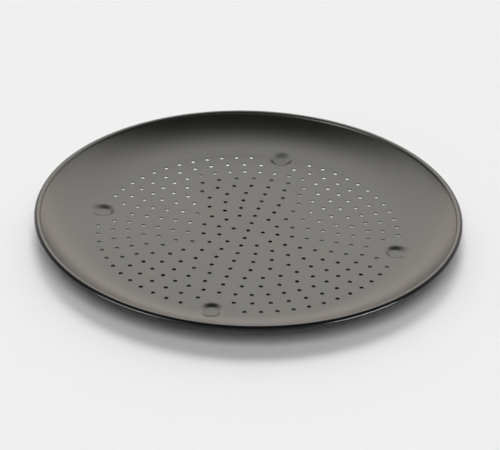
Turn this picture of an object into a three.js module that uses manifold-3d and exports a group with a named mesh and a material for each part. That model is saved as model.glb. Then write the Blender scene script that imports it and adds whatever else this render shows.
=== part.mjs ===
// Perforated round baking pan: one pressed steel sheet whose rim is curled round a wire.
// Millimetres, +Z up. The origin lies on the table, under the middle of the pan.
import * as THREE from "three";
import { mergeVertices } from "three/addons/utils/BufferGeometryUtils.js";
import Module from "manifold-3d";

// Overall form
const rimDiameter = 330;
const panHeight = 21.4;
const sheetThickness = 0.8;
const flareWidth = 45;
const neckRadius = 3;
const rimSlope = THREE.MathUtils.degToRad(65);

// Rolled rim
const wireDiameter = 2.4;
const wireClearance = 0.3;
const wireEndGap = 2;
const curlEndGap = 0.7;

// Perforation: one hole in the middle, then rings at an even pitch, counted outwards.
// Every count divides by four, so each ring lines up with the feet.
const holeDiameter = 3;
const ringPitch = 11.64;
const holesPerRing = [4, 12, 16, 20, 24, 32, 36, 48, 48, 60];
const baseEdgeLand = 2;

// Pressed feet, spaced evenly on the circle of the outermost ring. A flat punch pulls the sheet down. Round
// the floor the sheet slopes, steeply on the inner side and less on the flare's side, and a fillet joins it
// to the sheet above. The fillet is given as a share of the slope's width.
const footCount = 4;
const footDepth = 2.1;
const footFloorDiameter = 10.8;
const footInnerBlend = 4.3;
const footOuterBlend = 7.8;
const footFillet = 0.5;
const footLand = 1;

// Facets
const turnFacets = 60;
const flareFacets = 4;
const neckFacets = 1;
const curlFacetTurn = THREE.MathUtils.degToRad(30);
const holeFacets = 6;
const footFacets = 12;
const footFilletFacets = 2;
const wireFacets = 8;

// Heights and radii that follow from the sizes above
const baseUnderside = footDepth;
const baseTop = baseUnderside + sheetThickness;
const flatRadius = rimDiameter / 2 - flareWidth;
const curlBore = wireDiameter / 2 + wireClearance;
const curlRadius = curlBore + sheetThickness;
const curlCentre = new THREE.Vector2(rimDiameter / 2 - curlRadius, panHeight - curlRadius);

// The wall's upper face: an arc that leaves the base level, then a tight neck that ends at the rim slope
// on the curl. The neck's centre is known, and the flare's radius makes the two arcs meet smoothly.
const neckReach = curlRadius + neckRadius;
const neckCentre = new THREE.Vector2(
  curlCentre.x - neckReach * Math.sin(rimSlope),
  curlCentre.y + neckReach * Math.cos(rimSlope),
);
const neckOut = neckCentre.x - flatRadius;
const neckUp = neckCentre.y - baseTop;
const flareRadius = (neckOut ** 2 + neckUp ** 2 - neckRadius ** 2) / (2 * (neckUp - neckRadius));
const flareCentre = new THREE.Vector2(flatRadius, baseTop + flareRadius);
const flareSlope = Math.atan2(neckOut, flareRadius - neckUp);

const wasm = await Module();
wasm.setup();

function weld(geometry) {
  const bare = geometry.clone();
  bare.deleteAttribute("normal");
  bare.deleteAttribute("uv");
  return mergeVertices(bare, 1e-4);
}

function solidOf(geometry) {
  const welded = weld(geometry);
  const index = welded.index.array;
  const triVerts = [];
  for (let i = 0; i < index.length; i += 3) {
    const [a, b, c] = [index[i], index[i + 1], index[i + 2]];
    if (a !== b && b !== c && c !== a) triVerts.push(a, b, c);
  }
  return new wasm.Manifold(new wasm.Mesh({
    numProp: 3,
    vertProperties: new Float32Array(welded.attributes.position.array),
    triVerts: new Uint32Array(triVerts),
  }));
}

function geometryOf(solid) {
  const mesh = solid.getMesh();
  const geometry = new THREE.BufferGeometry();
  geometry.setAttribute("position", new THREE.BufferAttribute(mesh.vertProperties, 3));
  geometry.setIndex(new THREE.BufferAttribute(mesh.triVerts, 1));
  return geometry;
}

// A closed profile of radius and height, turned about the pan's axis
function turned(profile, facets) {
  const geometry = new THREE.LatheGeometry([...profile, profile[0]], facets);
  geometry.rotateX(Math.PI / 2);
  return geometry;
}

function polar(radius, angle) {
  return new THREE.Vector2(Math.cos(angle), Math.sin(angle)).multiplyScalar(radius);
}

// A point on an arc of the wall, where the wall has the given slope
function arcPoint(centre, radius, slope) {
  return polar(radius, slope - Math.PI / 2).add(centre);
}

// The wall at a given depth below its upper face, measured square to the sheet
function wallPoints(depth) {
  const points = [];
  for (let i = 0; i <= flareFacets; i += 1) {
    points.push(arcPoint(flareCentre, flareRadius + depth, (flareSlope * i) / flareFacets));
  }
  for (let i = 1; i <= neckFacets; i += 1) {
    const slope = THREE.MathUtils.lerp(flareSlope, rimSlope, i / neckFacets);
    points.push(arcPoint(neckCentre, neckRadius + depth, slope));
  }
  return points;
}

// The curl runs over the wire, down and under it, and stops a gap short of the wall's underside. Its facets
// have corners at the top of the rim and at its widest.
function curlPoints(radius) {
  const start = Math.PI / 2 + rimSlope;
  const end = start - 2 * Math.PI + Math.acos((curlBore - curlEndGap) / curlRadius);
  const turns = [start, Math.PI / 2, 0, end];
  const points = [];
  for (let span = 1; span < turns.length; span += 1) {
    const facets = Math.round((turns[span - 1] - turns[span]) / curlFacetTurn);
    for (let i = 1; i <= facets; i += 1) {
      const angle = THREE.MathUtils.lerp(turns[span - 1], turns[span], i / facets);
      points.push(polar(radius, angle).add(curlCentre));
    }
  }
  return points;
}

function sheetProfile() {
  const underside = [...wallPoints(sheetThickness), ...curlPoints(curlBore)];
  const upperSide = [...wallPoints(0), ...curlPoints(curlRadius)];
  return [
    new THREE.Vector2(0, baseUnderside),
    ...underside,
    ...upperSide.reverse(),
    new THREE.Vector2(0, baseTop),
  ];
}

// Height of the sheet's upper face, without the feet
function faceHeight(radius) {
  const out = Math.max(0, radius - flatRadius);
  return flareCentre.y - Math.sqrt(flareRadius ** 2 - out ** 2);
}

// How much of a foot's depth is left at a share of the way up its slope
function footFall(share) {
  const steepness = 1 / (1 - footFillet / 2);
  const left = 1 - share;
  if (left > footFillet) return 1 - steepness * share;
  return (Math.sign(left) * steepness * left ** 2) / (2 * footFillet);
}

// The form of one pressed foot: a flat floor, the slope round it, and one step more that lifts the edge clear
// of the sheet's face. It lies a given drop below the upper face and is closed by a cap.
function footForm(angle, drop, capHeight) {
  const centre = polar(ringCount * ringPitch, angle);
  const floorHeight = baseTop - footDepth;
  const positions = [centre.x, centre.y, floorHeight - drop];
  const shares = [0];
  for (let i = 0; i <= footFilletFacets + 1; i += 1) {
    shares.push(1 - footFillet + (footFillet * i) / footFilletFacets);
  }
  for (const share of shares) {
    for (let i = 0; i < footFacets; i += 1) {
      const turn = (i / footFacets) * 2 * Math.PI;
      const outward = ((1 + Math.cos(turn)) / 2) ** 3;
      const blend = THREE.MathUtils.lerp(footInnerBlend, footOuterBlend, outward);
      const point = polar(footFloorDiameter / 2 + share * blend, angle + turn).add(centre);
      const face = faceHeight(point.length());
      positions.push(point.x, point.y, face - (face - floorHeight) * footFall(share) - drop);
    }
  }
  positions.push(centre.x, centre.y, capHeight);
  const cap = positions.length / 3 - 1;
  const index = [];
  for (let i = 0; i < footFacets; i += 1) {
    const next = (i + 1) % footFacets;
    index.push(0, 1 + next, 1 + i);
    for (let step = 0; step < shares.length - 1; step += 1) {
      const low = 1 + step * footFacets;
      const high = low + footFacets;
      index.push(low + i, low + next, high + i, low + next, high + next, high + i);
    }
    index.push(cap, cap - footFacets + i, cap - footFacets + next);
  }
  const geometry = new THREE.BufferGeometry();
  geometry.setAttribute("position", new THREE.Float32BufferAttribute(positions, 3));
  geometry.setIndex(index);
  return geometry;
}

// Rings that leave enough metal inside the edge of the flat base
const ringCount = holesPerRing.filter(
  (_, i) => (i + 1) * ringPitch + holeDiameter / 2 + baseEdgeLand <= flatRadius,
).length;

const footAngles = Array.from({ length: footCount }, (_, i) => (i / footCount) * 2 * Math.PI);

function holeCentres() {
  const footCentres = footAngles.map((angle) => polar(ringCount * ringPitch, angle));
  const footReach = (footFloorDiameter + footInnerBlend + footOuterBlend) / 2;
  const reach = footReach + holeDiameter / 2 + footLand;
  const centres = [new THREE.Vector2(0, 0)];
  for (let ring = 1; ring <= ringCount; ring += 1) {
    const count = holesPerRing[ring - 1];
    for (let i = 0; i < count; i += 1) {
      centres.push(polar(ring * ringPitch, (i / count) * 2 * Math.PI));
    }
  }
  return centres.filter((centre) => footCentres.every((foot) => foot.distanceTo(centre) > reach));
}

// A punch of the round hole's area, one corner pointing away from the middle of the pan
function punch(centre) {
  const sector = (2 * Math.PI) / holeFacets;
  const corner = (holeDiameter / 2) * Math.sqrt(sector / Math.sin(sector));
  const geometry = new THREE.CylinderGeometry(corner, corner, 3 * sheetThickness, holeFacets);
  geometry.rotateX(Math.PI / 2);
  geometry.rotateZ(Math.PI / 2 + centre.angle());
  geometry.translate(centre.x, centre.y, (baseTop + baseUnderside) / 2);
  return solidOf(geometry);
}

function panBody() {
  let sheet = solidOf(turned(sheetProfile(), turnFacets));
  for (const angle of footAngles) {
    const outside = footForm(angle, sheetThickness, (baseTop + baseUnderside) / 2);
    const inside = footForm(angle, 0, baseTop + sheetThickness);
    sheet = sheet.add(solidOf(outside)).subtract(solidOf(inside));
  }
  const punches = holeCentres().map(punch);
  return geometryOf(sheet.subtract(wasm.Manifold.union(punches)));
}

// The wire is bent to a ring and its ends stand a small gap apart
function rimWire() {
  const ring = new THREE.TorusGeometry(curlCentre.x, wireDiameter / 2, wireFacets, turnFacets);
  ring.translate(0, 0, curlCentre.y);
  const gap = new THREE.BoxGeometry(wireEndGap, 2 * wireDiameter, 2 * wireDiameter);
  gap.translate(0, curlCentre.x, curlCentre.y);
  return geometryOf(solidOf(ring).subtract(solidOf(gap)));
}

function piece(name, geometry, colour, roughness, metalness) {
  const material = new THREE.MeshStandardMaterial({ color: colour, roughness, metalness });
  const mesh = new THREE.Mesh(geometry, material);
  mesh.name = name;
  return mesh;
}

const pan = new THREE.Group();
pan.name = "perforated_baking_pan";
pan.add(piece("pan_body", panBody(), "#5a5853", 0.45, 0.5));
pan.add(piece("rim_wire", rimWire(), "#a3a29e", 0.35, 1));

export default pan;
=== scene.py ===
import math

import bpy
import numpy as np
from mathutils import Matrix, Vector
from mathutils.geometry import delaunay_2d_cdt


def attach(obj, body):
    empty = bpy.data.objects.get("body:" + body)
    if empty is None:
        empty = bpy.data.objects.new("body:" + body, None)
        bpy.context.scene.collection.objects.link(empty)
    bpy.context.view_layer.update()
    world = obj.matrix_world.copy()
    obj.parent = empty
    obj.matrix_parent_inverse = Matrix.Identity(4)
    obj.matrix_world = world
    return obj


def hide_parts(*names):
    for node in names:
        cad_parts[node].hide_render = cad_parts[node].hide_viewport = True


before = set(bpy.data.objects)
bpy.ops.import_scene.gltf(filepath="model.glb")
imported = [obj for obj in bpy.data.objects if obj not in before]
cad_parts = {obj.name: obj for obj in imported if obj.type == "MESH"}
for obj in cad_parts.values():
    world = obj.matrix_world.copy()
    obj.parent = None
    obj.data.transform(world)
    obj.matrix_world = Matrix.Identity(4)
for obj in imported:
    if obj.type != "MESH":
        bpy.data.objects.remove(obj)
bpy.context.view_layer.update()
print("frame loaded:", ", ".join(sorted(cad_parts)))

mm = 0.001  # every size below is in millimetres until a mesh is made
tiny = 1e-6  # keeps divisions off zero


def hexColour(code):
    channels = [int(code[i:i + 2], 16) / 255 for i in (1, 3, 5)]
    linear = [c / 12.92 if c <= 0.04045 else ((c + 0.055) / 1.055) ** 2.4 for c in channels]
    return (*linear, 1.0)


def addNode(tree, kind, values=None, links=None, **settings):
    node = tree.nodes.new(kind)
    for name, value in settings.items():
        setattr(node, name, value)
    for socket, value in (values or {}).items():
        node.inputs[socket].default_value = value
    for socket, source in (links or {}).items():
        tree.links.new(source, node.inputs[socket])
    return node


def combined(tree, operation, first, second):
    return addNode(tree, "ShaderNodeMath", None, {0: first, 1: second}, operation=operation).outputs[0]


def cellsPerMetre(sizeMm):
    return 1000 / sizeMm


# the pressed sheet: flat base, flared wall, rolled rim and four feet
panSheet = {
    "rimRadius": 165.0,
    "height": 21.4,
    "sheet": 0.8,
    "flatRadius": 120.0,
    "neckRadius": 3.0,
    "rimSlope": math.radians(65),
    "wireRadius": 1.2,
    "wireClearance": 0.3,
    "curlEndGap": 0.7,
    "holeRadius": 1.5,
    "holeRollover": 0.28,  # the punch rounds the edge it enters
    "holeExitEdge": 0.12,
    "holeWear": (1.0, 0.7, 0.2, 0.5),  # bare steel, from the rounded edge down the hole to the exit edge
    "ringPitch": 11.64,
    "holesPerRing": (4, 12, 16, 20, 24, 32, 36, 48, 48, 60),
    "footCount": 4,
    "footDepth": 2.1,
    "footFloor": 5.4,
    "footCorner": 0.25,
    "footInnerBlend": 4.3,
    "footOuterBlend": 7.8,
    "footFillet": 0.5,  # share of the slope that turns into the sheet above it
    "footLand": 1.0,
    "footClear": 1.2,  # rings of the flare stay this many dip widths off a foot's floor
    "footRings": (-0.8, -0.6, -0.4, -0.2, -0.1, -0.05, 0, 0.04, 0.08, 0.13, *np.linspace(0.2, 1.1, 13)),
    "coatEdge": math.radians(82),  # on the curl, where the inside coat gives way to the outside one
    "coatBlend": math.radians(10),
    "crestTurn": math.radians(60),  # where the curl rubs most
    "crestWear": 0.6,
    "curlEndWear": 0.9,
    "plateRadius": 136.0,  # the base is meshed out to here, past the feet
    "plateRingStep": 2.0,
    "turnSteps": 320,
    "holeSteps": 24,
    "flareSteps": 14,
    "neckSteps": 5,
    "curlSteps": 30,
    "curlEndSteps": 6,
    "footTurnSteps": 64,
}

p = panSheet
baseTop = p["footDepth"] + p["sheet"]
curlBore = p["wireRadius"] + p["wireClearance"]
curlRadius = curlBore + p["sheet"]
curlCentre = np.array([p["rimRadius"] - curlRadius, p["height"] - curlRadius])

# the wall's upper face is an arc that leaves the base level and a tight neck that runs into the curl
neckReach = curlRadius + p["neckRadius"]
neckCentre = curlCentre + neckReach * np.array([-math.sin(p["rimSlope"]), math.cos(p["rimSlope"])])
neckOut, neckUp = neckCentre - [p["flatRadius"], baseTop]
flareRadius = (neckOut ** 2 + neckUp ** 2 - p["neckRadius"] ** 2) / (2 * (neckUp - p["neckRadius"]))
flareCentre = np.array([p["flatRadius"], baseTop + flareRadius])
flareSlope = math.atan2(neckOut, flareRadius - neckUp)

footRing = p["ringPitch"] * len(p["holesPerRing"])
footAngles = [2 * math.pi * i / p["footCount"] for i in range(p["footCount"])]
footCentres = [(footRing * math.cos(a), footRing * math.sin(a)) for a in footAngles]


def footBlend(outward):
    # width of the dip round a foot's floor, from the pan's middle (-1) to the flare (1)
    return p["footInnerBlend"] + (p["footOuterBlend"] - p["footInnerBlend"]) * ((1 + outward) / 2) ** 3


def footFall(share):
    # share of the depth that is left along the dip: a straight slope, then a fillet into the sheet
    fillet = p["footFillet"]
    steepness = 1 / (1 - fillet / 2)
    left = np.clip(1 - share, 0, None)
    return np.where(left > fillet, 1 - steepness * share, steepness * left ** 2 / (2 * fillet))


def sheetHeight(x, y):
    out = np.maximum(np.hypot(x, y) - p["flatRadius"], 0)
    height = flareCentre[1] - np.sqrt(flareRadius ** 2 - out ** 2)
    for footX, footY in footCentres:
        away = np.maximum(np.hypot(x - footX, y - footY), tiny)
        blend = footBlend(((x - footX) * footX + (y - footY) * footY) / (footRing * away))
        share = (away - p["footFloor"]) / blend
        share = (share + np.sqrt(share ** 2 + (p["footCorner"] / blend) ** 2)) / 2
        height = height - (height - p["sheet"]) * footFall(share)
    return height


def sheetNormal(x, y):
    step = 0.01
    slopeX = (sheetHeight(x + step, y) - sheetHeight(x - step, y)) / (2 * step)
    slopeY = (sheetHeight(x, y + step) - sheetHeight(x, y - step)) / (2 * step)
    normal = np.stack([-slopeX, -slopeY, np.ones_like(x)], 1)
    return normal / np.linalg.norm(normal, axis=1)[:, None]


def holeCentres():
    centres = [(0.0, 0.0)]
    reach = p["footFloor"] + footBlend(0) + p["holeRadius"] + p["footLand"]
    for ring, count in enumerate(p["holesPerRing"], 1):
        for i in range(count):
            angle = 2 * math.pi * i / count
            x, y = ring * p["ringPitch"] * math.cos(angle), ring * p["ringPitch"] * math.sin(angle)
            if all(math.hypot(x - fx, y - fy) > reach for fx, fy in footCentres):
                centres.append((x, y))
    return centres


def circle(radius, steps, centre=(0.0, 0.0)):
    angle = 2 * np.pi * np.arange(steps) / steps
    return np.stack([centre[0] + radius * np.cos(angle), centre[1] + radius * np.sin(angle)], 1)


class SheetMesh:
    def __init__(self):
        self.points, self.normals, self.wear, self.outside = [], [], [], []
        self.faces, self.count = [], 0

    def add(self, points, normals, wear=0.0, outside=0.0):
        first = self.count
        self.points.append(np.asarray(points, float))
        self.normals.append(np.asarray(normals, float))
        self.wear.append(np.full(len(points), wear))
        self.outside.append(np.full(len(points), outside))
        self.count += len(points)
        return np.arange(first, self.count)

    def bridge(self, inner, outer):
        a, b = np.roll(inner, -1), np.roll(outer, -1)
        self.faces += np.stack([inner, outer, b, a], 1).tolist()

    def object(self, name):
        mesh = bpy.data.meshes.new(name)
        mesh.from_pydata((np.concatenate(self.points) * mm).tolist(), [], self.faces)
        mesh.polygons.foreach_set("use_smooth", [True] * len(mesh.polygons))
        for label, values in (("wear", self.wear), ("outside", self.outside)):
            mesh.attributes.new(label, "FLOAT", "POINT").data.foreach_set("value", np.concatenate(values))
        mesh.normals_split_custom_set_from_vertices(np.concatenate(self.normals).tolist())
        piece = bpy.data.objects.new(name, mesh)
        bpy.context.scene.collection.objects.link(piece)
        return piece


def footRingRadius(share, away, foot):
    # share -1 is the middle of a foot, 0 the edge of its floor and 1 the end of its dip
    outward = away @ foot / (footRing * np.maximum(np.hypot(*away.T), tiny))
    return p["footFloor"] * (1 + min(share, 0)) + max(share, 0) * footBlend(outward)


def meshPlate(sheet):
    # plan of the base: a ring of points round each hole, rings over the feet and the start of the flare
    holes = holeCentres()
    steps = p["holeSteps"]
    plan, edges, owner = [], [], []

    def ringOf(points, mark, closed):
        first = len(owner)
        plan.extend(points.tolist())
        owner.extend([mark] * len(points))
        if closed:
            edges.extend((first + i, first + (i + 1) % len(points)) for i in range(len(points)))
        return list(range(first, first + len(points)))

    rim = ringOf(circle(p["plateRadius"], p["turnSteps"]), -1, True)
    holeRings = [
        ringOf(circle(p["holeRadius"] + p["holeRollover"], steps, centre), i, True)
        for i, centre in enumerate(holes)
    ]
    for radius in np.arange(p["flatRadius"], p["plateRadius"], p["plateRingStep"]):
        points = circle(radius, p["turnSteps"])
        clear = [
            np.hypot(*(points - foot).T) > footRingRadius(p["footClear"], points - foot, foot)
            for foot in np.array(footCentres)
        ]
        ringOf(points[np.all(clear, 0)], -1, False)
    for foot in np.array(footCentres):
        turn = circle(1.0, p["footTurnSteps"])
        for share in p["footRings"]:
            ringOf(foot + turn * footRingRadius(share, turn, foot)[:, None], -1, False)

    _, _, triangles, source, _, _ = delaunay_2d_cdt([Vector(xy) for xy in plan], edges, [], 0, tiny)
    plan = np.array(plan)
    faces = []
    for triangle in triangles:
        a, b, c = (source[i][0] for i in triangle)
        if owner[a] >= 0 and owner[a] == owner[b] == owner[c]:
            continue
        (ax, ay), (bx, by), (cx, cy) = plan[a], plan[b], plan[c]
        turn = (bx - ax) * (cy - ay) - (by - ay) * (cx - ax)
        faces.append((a, b, c) if turn > 0 else (a, c, b))

    x, y = plan.T
    normal = sheetNormal(x, y)
    upper = np.stack([x, y, sheetHeight(x, y)], 1)
    lower = upper - normal * p["sheet"]
    outward = np.zeros((steps, 3))
    outward[:, :2] = circle(1.0, steps)
    for ring, centre in zip(holeRings, holes):
        lower[ring] = [*centre, baseTop - p["sheet"]] + outward * (p["holeRadius"] + p["holeExitEdge"])
    top = sheet.add(upper, normal)
    bottom = sheet.add(lower, -normal, outside=1.0)
    sheet.faces += top[np.array(faces)].tolist()
    sheet.faces += bottom[np.array(faces)[:, ::-1]].tolist()

    # each hole's wall, from the rolled-over edge down to the sharper one
    up = np.array([0.0, 0.0, 1.0])
    roll, exitEdge, half = p["holeRollover"], p["holeExitEdge"], math.sqrt(0.5)
    levels = (
        (roll * (1 - half), baseTop - roll * (1 - half), half),
        (0.0, baseTop - roll, 0.0),
        (0.0, baseTop - p["sheet"] + exitEdge, 0.0),
        (exitEdge * (1 - half), baseTop - p["sheet"] + exitEdge * (1 - half), -half),
    )
    for ring, centre in zip(holeRings, holes):
        above = top[ring]
        for (widening, height, lean), wear in zip(levels, p["holeWear"]):
            points = [*centre, height] + outward * (p["holeRadius"] + widening)
            below = sheet.add(points, up * lean - outward * math.sqrt(1 - lean * lean), wear, 1.0)
            sheet.bridge(below, above)
            above = below
        sheet.bridge(bottom[ring], above)
    return top[rim], bottom[rim], len(holes)


def wallProfile():
    # radius, height, outward normal, wear and share of the outside coat, from the plate's edge over the
    # rim and back underneath
    flareStart = math.asin((p["plateRadius"] - p["flatRadius"]) / flareRadius)
    flareTurns = np.linspace(flareStart, flareSlope, p["flareSteps"] + 1)[1:]
    neckTurns = np.linspace(flareSlope, p["rimSlope"], p["neckSteps"] + 1)[1:]
    wall = [(flareCentre, flareRadius, a) for a in flareTurns]
    wall += [(neckCentre, p["neckRadius"], a) for a in neckTurns]
    half = p["sheet"] / 2
    middle = (curlRadius + curlBore) / 2
    sweep = 2 * math.pi - math.acos((curlBore - p["curlEndGap"]) / curlRadius) - half / middle
    angles = math.pi / 2 + p["rimSlope"] - np.linspace(0, sweep, p["curlSteps"] + 1)
    profile = []
    for centre, radius, slope in wall:
        normal = np.array([-math.sin(slope), math.cos(slope)])
        profile.append((*(centre - radius * normal), *normal, 0.0, 0.0))
    for angle in angles[1:]:
        out = np.array([math.cos(angle), math.sin(angle)])
        wear = p["crestWear"] * max(0.0, math.cos(angle - p["crestTurn"]))
        overspray = np.clip((p["coatEdge"] + p["coatBlend"] - angle) / (2 * p["coatBlend"]), 0, 1)
        profile.append((*(curlCentre + curlRadius * out), *out, wear, overspray))
    ahead = np.array([out[1], -out[0]])
    for turn in np.linspace(0, math.pi, p["curlEndSteps"] + 1)[1:-1]:
        normal = math.cos(turn) * out + math.sin(turn) * ahead
        profile.append((*(curlCentre + middle * out + half * normal), *normal, p["curlEndWear"], 1.0))
    for angle in angles[:0:-1]:
        out = np.array([math.cos(angle), math.sin(angle)])
        profile.append((*(curlCentre + curlBore * out), *-out, 0.0, 1.0))
    for centre, radius, slope in wall[::-1]:
        normal = np.array([math.sin(slope), -math.cos(slope)])
        profile.append((*(centre + (radius + p["sheet"]) * normal), *normal, 0.0, 1.0))
    return profile


def makePan():
    sheet = SheetMesh()
    topEdge, bottomEdge, holeCount = meshPlate(sheet)
    turn = circle(1.0, p["turnSteps"])
    ring = topEdge
    for radius, height, normalR, normalZ, wear, outside in wallProfile():
        points = np.column_stack([turn * radius, np.full(len(turn), height)])
        normals = np.column_stack([turn * normalR, np.full(len(turn), normalZ)])
        following = sheet.add(points, normals, wear, outside)
        sheet.bridge(ring, following)
        ring = following
    sheet.bridge(ring, bottomEdge)
    print("pan sheet:", holeCount, "holes,", sheet.count, "points")
    return sheet.object("panBody")


# the wire inside the rolled rim, cut to length with its ends a small gap apart
rimWire = {"endGap": 2.0, "steps": 320, "sides": 20, "endChamfer": 0.3, "endMiddle": 0.02}


def makeWire():
    wire = SheetMesh()
    half = rimWire["endGap"] / 2 / curlCentre[0]
    angles = np.linspace(math.pi / 2 + half, math.pi * 5 / 2 - half, rimWire["steps"])
    chamfer = rimWire["endChamfer"]
    spread = chamfer / curlCentre[0]
    stations = [(angles[0], 0.0), (angles[0], 1 - chamfer / p["wireRadius"])]
    stations += [(a, 1.0) for a in np.concatenate([[angles[0] + spread], angles[1:-1], [angles[-1] - spread]])]
    stations += [(angles[-1], 1 - chamfer / p["wireRadius"]), (angles[-1], 0.0)]
    section = circle(1.0, rimWire["sides"])
    ring = None
    for angle, share in stations:
        out = np.array([math.cos(angle), math.sin(angle), 0.0])
        across = section[:, :1] * out + section[:, 1:] * np.array([0.0, 0.0, 1.0])
        radius = max(share, rimWire["endMiddle"]) * p["wireRadius"]
        following = wire.add(out * curlCentre[0] + [0, 0, curlCentre[1]] + across * radius, across)
        if ring is None:
            wire.faces.append(following.tolist())
        else:
            wire.bridge(ring, following)
        ring = following
    wire.faces.append(ring[::-1].tolist())
    print("rim wire:", wire.count, "points")
    return wire.object("rimWire")


# non-stick coat: a dark film with metal pigment, sprayed on steel and cured. It levels to a satin face
# with a very fine grain, mirrors light softly and goes almost black where it sees none. The outside has a
# dark glossy enamel, and the two meet on the crest of the curl
coat = {
    "colour": "#7b7a75",
    "outsideColour": "#121212",
    "bareSteel": "#a8a59f",
    "metallic": 0.985,
    "roughness": 0.35,
    "outsideRoughness": 0.22,
    "outsideSpecular": 0.25,
    "grainMm": 0.9,  # real grain is about 0.1 mm, drawn coarser so that it shows
    "grainDepthMm": 0.006,
    "levellingMm": 6.0,  # the slow ripple that a sprayed film keeps
    "levellingDepthMm": 0.02,
    "cloudMm": 45.0,
    "cloudRange": (0.3, 0.7),
    "colourSpread": 0.05,
    "roughnessSpread": 0.03,
    "rubbedShare": 0.35,  # bare steel where an edge is fully worn
}


def coatMaterial():
    material = bpy.data.materials.new("nonStickCoatOnSteel")
    material.use_nodes = True
    tree = material.node_tree
    tree.nodes.clear()
    place = addNode(tree, "ShaderNodeTexCoord").outputs["Object"]

    def noise(sizeMm, detail):
        values = {"Scale": cellsPerMetre(sizeMm), "Detail": detail}
        return addNode(tree, "ShaderNodeTexNoise", values, {"Vector": place}).outputs["Fac"]

    grain = noise(coat["grainMm"], 3.0)
    ripple = noise(coat["levellingMm"], 1.0)
    cloud = noise(coat["cloudMm"], 4.0)
    wear = addNode(tree, "ShaderNodeAttribute", attribute_name="wear").outputs["Fac"]
    rubbed = addNode(
        tree, "ShaderNodeMath", {1: coat["rubbedShare"]}, {0: wear}, operation="MULTIPLY",
    ).outputs[0]
    patchy = combined(tree, "MULTIPLY", rubbed, grain)
    dark = hexColour(coat["colour"])
    shade = addNode(tree, "ShaderNodeValToRGB", None, {"Fac": cloud})
    cloudLow, cloudHigh = coat["cloudRange"]
    shade.color_ramp.elements[0].position = cloudLow
    shade.color_ramp.elements[0].color = [c * (1 - coat["colourSpread"]) for c in dark[:3]] + [1]
    shade.color_ramp.elements[1].position = cloudHigh
    shade.color_ramp.elements[1].color = [c * (1 + coat["colourSpread"]) for c in dark[:3]] + [1]
    outside = addNode(tree, "ShaderNodeAttribute", attribute_name="outside").outputs["Fac"]
    colour = addNode(
        tree, "ShaderNodeMix", {7: hexColour(coat["bareSteel"])}, {0: patchy, 6: shade.outputs["Color"]},
        data_type="RGBA",
    ).outputs[2]
    colour = addNode(
        tree, "ShaderNodeMix", {7: hexColour(coat["outsideColour"])}, {0: outside, 6: colour},
        data_type="RGBA",
    ).outputs[2]
    rough = addNode(
        tree, "ShaderNodeMapRange",
        {
            "From Min": cloudLow, "From Max": cloudHigh,
            "To Min": coat["roughness"] - coat["roughnessSpread"],
            "To Max": coat["roughness"] + coat["roughnessSpread"],
        },
        {"Value": cloud},
    ).outputs["Result"]
    rough = addNode(
        tree, "ShaderNodeMapRange", {"To Max": coat["outsideRoughness"]},
        {"Value": outside, "To Min": rough},
    ).outputs["Result"]
    metal = addNode(
        tree, "ShaderNodeMapRange", {"To Min": coat["metallic"], "To Max": 0.0}, {"Value": outside},
    ).outputs["Result"]
    waves = addNode(
        tree, "ShaderNodeBump", {"Strength": 1.0, "Distance": coat["levellingDepthMm"] * mm},
        {"Height": ripple},
    )
    fine = addNode(
        tree, "ShaderNodeBump", {"Strength": 1.0, "Distance": coat["grainDepthMm"] * mm},
        {"Height": grain, "Normal": waves.outputs["Normal"]},
    )
    shader = addNode(
        tree, "ShaderNodeBsdfPrincipled", {"Specular IOR Level": coat["outsideSpecular"]},
        {"Base Color": colour, "Metallic": metal, "Roughness": rough, "Normal": fine.outputs["Normal"]},
    )
    addNode(tree, "ShaderNodeOutputMaterial", None, {"Surface": shader.outputs["BSDF"]})
    return material


# bare steel wire, drawn through a die: bright, with fine lines along its length
drawnWire = {
    "colour": "#a5a39d",
    "roughness": 0.34,
    "roughnessSpread": 0.08,
    "lineMm": 0.25,
    "lineDepthMm": 0.01,
    "lineStrength": 0.5,
}


def wireMaterial():
    material = bpy.data.materials.new("drawnSteelWire")
    material.use_nodes = True
    tree = material.node_tree
    tree.nodes.clear()
    place = addNode(tree, "ShaderNodeTexCoord").outputs["Object"]
    height = addNode(tree, "ShaderNodeSeparateXYZ", None, {0: place}).outputs["Z"]
    lines = addNode(
        tree, "ShaderNodeTexNoise", {"Scale": cellsPerMetre(drawnWire["lineMm"]), "Detail": 2.0},
        {"W": height}, noise_dimensions="1D",
    )
    rough = addNode(
        tree, "ShaderNodeMapRange",
        {
            "To Min": drawnWire["roughness"] - drawnWire["roughnessSpread"],
            "To Max": drawnWire["roughness"] + drawnWire["roughnessSpread"],
        },
        {"Value": lines.outputs["Fac"]},
    )
    bump = addNode(
        tree, "ShaderNodeBump",
        {"Strength": drawnWire["lineStrength"], "Distance": drawnWire["lineDepthMm"] * mm},
        {"Height": lines.outputs["Fac"]},
    )
    shader = addNode(
        tree, "ShaderNodeBsdfPrincipled", {"Base Color": hexColour(drawnWire["colour"]), "Metallic": 1.0},
        {"Roughness": rough.outputs["Result"], "Normal": bump.outputs["Normal"]},
    )
    addNode(tree, "ShaderNodeOutputMaterial", None, {"Surface": shader.outputs["BSDF"]})
    return material


panBody = makePan()
panBody.data.materials.append(coatMaterial())
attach(panBody, "root")
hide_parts("pan_body")

wirePiece = makeWire()
wirePiece.data.materials.append(wireMaterial())
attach(wirePiece, "root")
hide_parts("rim_wire")
print("pan and wire in place")

# camera: long lens, looking down at the pan from the front and a little from its right
camera = {
    "lens": 169.3,
    "sensor": 36.0,
    "azimuth": math.radians(12.459),
    "elevation": math.radians(30.767),
    "roll": math.radians(1.619),
    "distance": 1823.6,
    "sideways": -1.3,
    "upwards": -4.3,
    "clipStart": 50.0,
}


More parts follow.
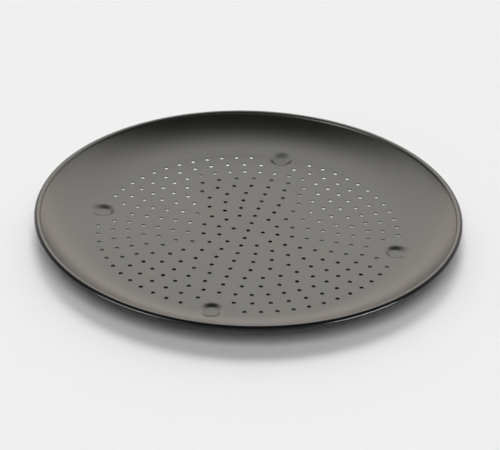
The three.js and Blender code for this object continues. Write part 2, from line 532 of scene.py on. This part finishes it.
def placeCamera():
    c = camera
    level = Vector((-math.sin(c["azimuth"]), math.cos(c["azimuth"]), 0))
    right = Vector((math.cos(c["azimuth"]), math.sin(c["azimuth"]), 0))
    ahead = level * math.cos(c["elevation"]) - Vector((0, 0, math.sin(c["elevation"])))
    up = level * math.sin(c["elevation"]) + Vector((0, 0, math.cos(c["elevation"])))
    place = Vector((0, 0, baseTop)) - right * c["sideways"] - up * c["upwards"] - ahead * c["distance"]
    tiltedRight = right * math.cos(c["roll"]) + up * math.sin(c["roll"])
    tiltedUp = up * math.cos(c["roll"]) - right * math.sin(c["roll"])
    data = bpy.data.cameras.new("photoCamera")
    data.lens = c["lens"]
    data.sensor_width = c["sensor"]
    data.clip_start = c["clipStart"] * mm
    item = bpy.data.objects.new("photoCamera", data)
    turn = Matrix((tiltedRight, tiltedUp, -ahead)).transposed().to_4x4()
    item.matrix_world = Matrix.Translation(place * mm) @ turn
    bpy.context.scene.collection.objects.link(item)
    bpy.context.scene.camera = item
    return level


viewLevel = placeCamera()
print("camera placed")

# studio: a white sweep behind the pan that darkens overhead, dim light low in front, dark flags at both
# sides, a soft box at the front left, low strips at the front, two soft lamps, and a pale table with a
# painted glow: it emits light by position under the pan, standing in for light seen through the holes
studio = {
    "sweepHigh": "#d2d2d2",
    "sweepLow": "#fff1ed",
    "sweepLevel": 1.55,
    "sweepLowEnd": math.radians(30),
    "sweepBrightEnd": math.radians(47),
    "sweepDarkStart": math.radians(96),
    "darkLevel": 0.02,
    "frontStart": math.radians(140),
    "frontEnd": math.radians(158),
    "frontLevel": 0.4,
    "frontOnTable": 0.25,  # share of the front light that the matt table gets
    "flagTurn": math.radians(72),
    "flagElevation": math.radians(8),
    "flagInner": math.radians(12),
    "flagOuter": math.radians(32),
    "flagLevels": {1: 0.06, -1: 0.45},  # left and right
    "boxTurn": math.radians(132),
    "boxElevation": math.radians(11),
    "boxInner": math.radians(8),
    "boxOuter": math.radians(21),
    "boxLevel": 4.5,
    "stripTurn": math.radians(134),
    "stripAway": 310.0,
    "stripLength": 150.0,
    "stripHeight": 18.0,
    "stripLift": 1.0,
    "stripPowers": {1: 0.3, -1: 0.55},  # left and right
}
softLights = {  # turn, elevation, spread and level
    "backSoftLight": (math.radians(0), math.radians(58), math.radians(26), 1.1),
    "frontSoftLight": (math.radians(180), math.radians(54), math.radians(40), 1.43),
}
table = {
    "colour": "#efefef",
    "roughness": 0.9,
    "specular": 0.0,
    "size": 12000.0,
    # painted light: under the pan the table emits light by position, standing in for light seen through the
    # holes
    "glow": 1.15,
    "glowRadius": 121.0,
    "glowFade": 1.02,  # the glow has faded out at this many times its radius
    "shadeBack": (80.0, 104.0),  # no light up to the first distance, full light from the second
    "shadeLeft": (37.0, 45.0),
    "shadeRight": (24.0, 60.0),
    "fadeTurn": math.radians(119),  # the glow ends here, measured from straight behind
}


def towards(turn, elevation):
    # a direction turned about the vertical from straight behind the pan
    level = Matrix.Rotation(turn, 3, "Z") @ viewLevel
    return level * math.cos(elevation) + Vector((0, 0, math.sin(elevation)))


def along(tree, place, direction):
    return addNode(
        tree, "ShaderNodeVectorMath", {1: direction}, {0: place}, operation="DOT_PRODUCT",
    ).outputs["Value"]


def eased(tree, value, start, end, low, high):
    return addNode(
        tree, "ShaderNodeMapRange", {"From Min": start, "From Max": end, "To Min": low, "To Max": high},
        {"Value": value}, interpolation_type="SMOOTHSTEP",
    ).outputs["Result"]


def lightStudio():
    s = studio
    world = bpy.data.worlds.new("studio")
    bpy.context.scene.world = world
    world.use_nodes = True
    tree = world.node_tree
    tree.nodes.clear()
    ray = addNode(tree, "ShaderNodeTexCoord").outputs["Generated"]
    climb = combined(tree, "ARCTAN2", along(tree, ray, (0, 0, 1)), along(tree, ray, viewLevel))
    light = eased(tree, climb, s["sweepBrightEnd"], s["sweepDarkStart"], s["sweepLevel"], s["darkLevel"])
    front = eased(tree, climb, s["frontStart"], s["frontEnd"], 0, s["frontLevel"])
    for side, level in s["flagLevels"].items():
        facing = along(tree, ray, towards(side * s["flagTurn"], s["flagElevation"]))
        flag = eased(tree, facing, math.cos(s["flagOuter"]), math.cos(s["flagInner"]), 1, level)
        light = combined(tree, "MULTIPLY", light, flag)
    facing = along(tree, ray, towards(s["boxTurn"], s["boxElevation"]))
    box = eased(tree, facing, math.cos(s["boxOuter"]), math.cos(s["boxInner"]), 0, s["boxLevel"])
    front = combined(tree, "ADD", front, box)
    diffuse = addNode(tree, "ShaderNodeLightPath").outputs["Is Diffuse Ray"]
    onTable = addNode(
        tree, "ShaderNodeMapRange", {"To Min": 1.0, "To Max": s["frontOnTable"]}, {"Value": diffuse},
    ).outputs["Result"]
    light = combined(tree, "ADD", light, combined(tree, "MULTIPLY", front, onTable))
    tint = addNode(
        tree, "ShaderNodeMix", {6: hexColour(s["sweepLow"]), 7: hexColour(s["sweepHigh"])},
        {0: eased(tree, climb, 0, s["sweepLowEnd"], 0, 1)}, data_type="RGBA",
    ).outputs[2]
    glow = addNode(tree, "ShaderNodeBackground", None, {"Color": tint, "Strength": light})
    addNode(tree, "ShaderNodeOutputWorld", None, {"Surface": glow.outputs[0]})

    for name, (turn, elevation, spread, level) in softLights.items():
        lamp = bpy.data.lights.new(name, "SUN")
        lamp.energy = level
        lamp.angle = spread
        item = bpy.data.objects.new(name, lamp)
        item.matrix_world = towards(turn, elevation).to_track_quat("Z", "Y").to_matrix().to_4x4()
        item.visible_glossy = False
        bpy.context.scene.collection.objects.link(item)

    # low strips beside the front of the pan draw the lines of light along the rolled rim
    for side, power in s["stripPowers"].items():
        strip = bpy.data.lights.new("rimStripLight", "AREA")
        strip.shape = "RECTANGLE"
        strip.size = s["stripLength"] * mm
        strip.size_y = s["stripHeight"] * mm
        strip.energy = power
        item = bpy.data.objects.new("rimStripLight", strip)
        outward = towards(side * s["stripTurn"], 0)
        place = outward * s["stripAway"] + Vector((0, 0, s["stripHeight"] / 2 + s["stripLift"]))
        turned = outward.to_track_quat("Z", "Y").to_matrix().to_4x4()
        item.matrix_world = Matrix.Translation(place * mm) @ turned
        item.visible_camera = False
        item.visible_diffuse = False
        bpy.context.scene.collection.objects.link(item)


def makeTable():
    t = table
    material = bpy.data.materials.new("paleMattPaperPaintedGlow")
    material.use_nodes = True
    tree = material.node_tree
    tree.nodes.clear()
    place = addNode(tree, "ShaderNodeNewGeometry").outputs["Position"]
    radius = addNode(tree, "ShaderNodeVectorMath", None, {0: place}, operation="LENGTH").outputs["Value"]
    right = viewLevel.cross((0, 0, 1))
    lit = None
    shades = ((viewLevel, t["shadeBack"]), (-right, t["shadeLeft"]), (right, t["shadeRight"]))
    for direction, (start, end) in shades:
        beyond = eased(tree, along(tree, place, direction), start * mm, end * mm, 0, 1)
        lit = beyond if lit is None else combined(tree, "MAXIMUM", lit, beyond)
    # painted light: the table emits light by position under the pan, none in a middle strip or at the front,
    # standing in for light seen through the holes
    heading = combined(tree, "DIVIDE", along(tree, place, viewLevel), radius)
    glow = addNode(
        tree, "ShaderNodeMapRange", {"From Min": math.cos(t["fadeTurn"]), "To Max": t["glow"]},
        {"Value": heading},
    ).outputs["Result"]
    edge = t["glowRadius"] * mm
    for fade in (lit, eased(tree, radius, edge, t["glowFade"] * edge, 1, 0)):
        glow = combined(tree, "MULTIPLY", glow, fade)
    shader = addNode(
        tree, "ShaderNodeBsdfPrincipled",
        {
            "Base Color": hexColour(t["colour"]), "Emission Color": hexColour(t["colour"]),
            "Roughness": t["roughness"], "Specular IOR Level": t["specular"],
        },
        {"Emission Strength": glow},
    )
    addNode(tree, "ShaderNodeOutputMaterial", None, {"Surface": shader.outputs["BSDF"]})

    half = t["size"] * mm / 2
    corners = [(-half, -half, 0), (half, -half, 0), (half, half, 0), (-half, half, 0)]
    mesh = bpy.data.meshes.new("table")
    mesh.from_pydata(corners, [], [(0, 1, 2, 3)])
    mesh.materials.append(material)
    top = bpy.data.objects.new("table", mesh)
    bpy.context.scene.collection.objects.link(top)


lightStudio()
makeTable()
bpy.context.scene.view_settings.view_transform = "Standard"
print("studio lit")
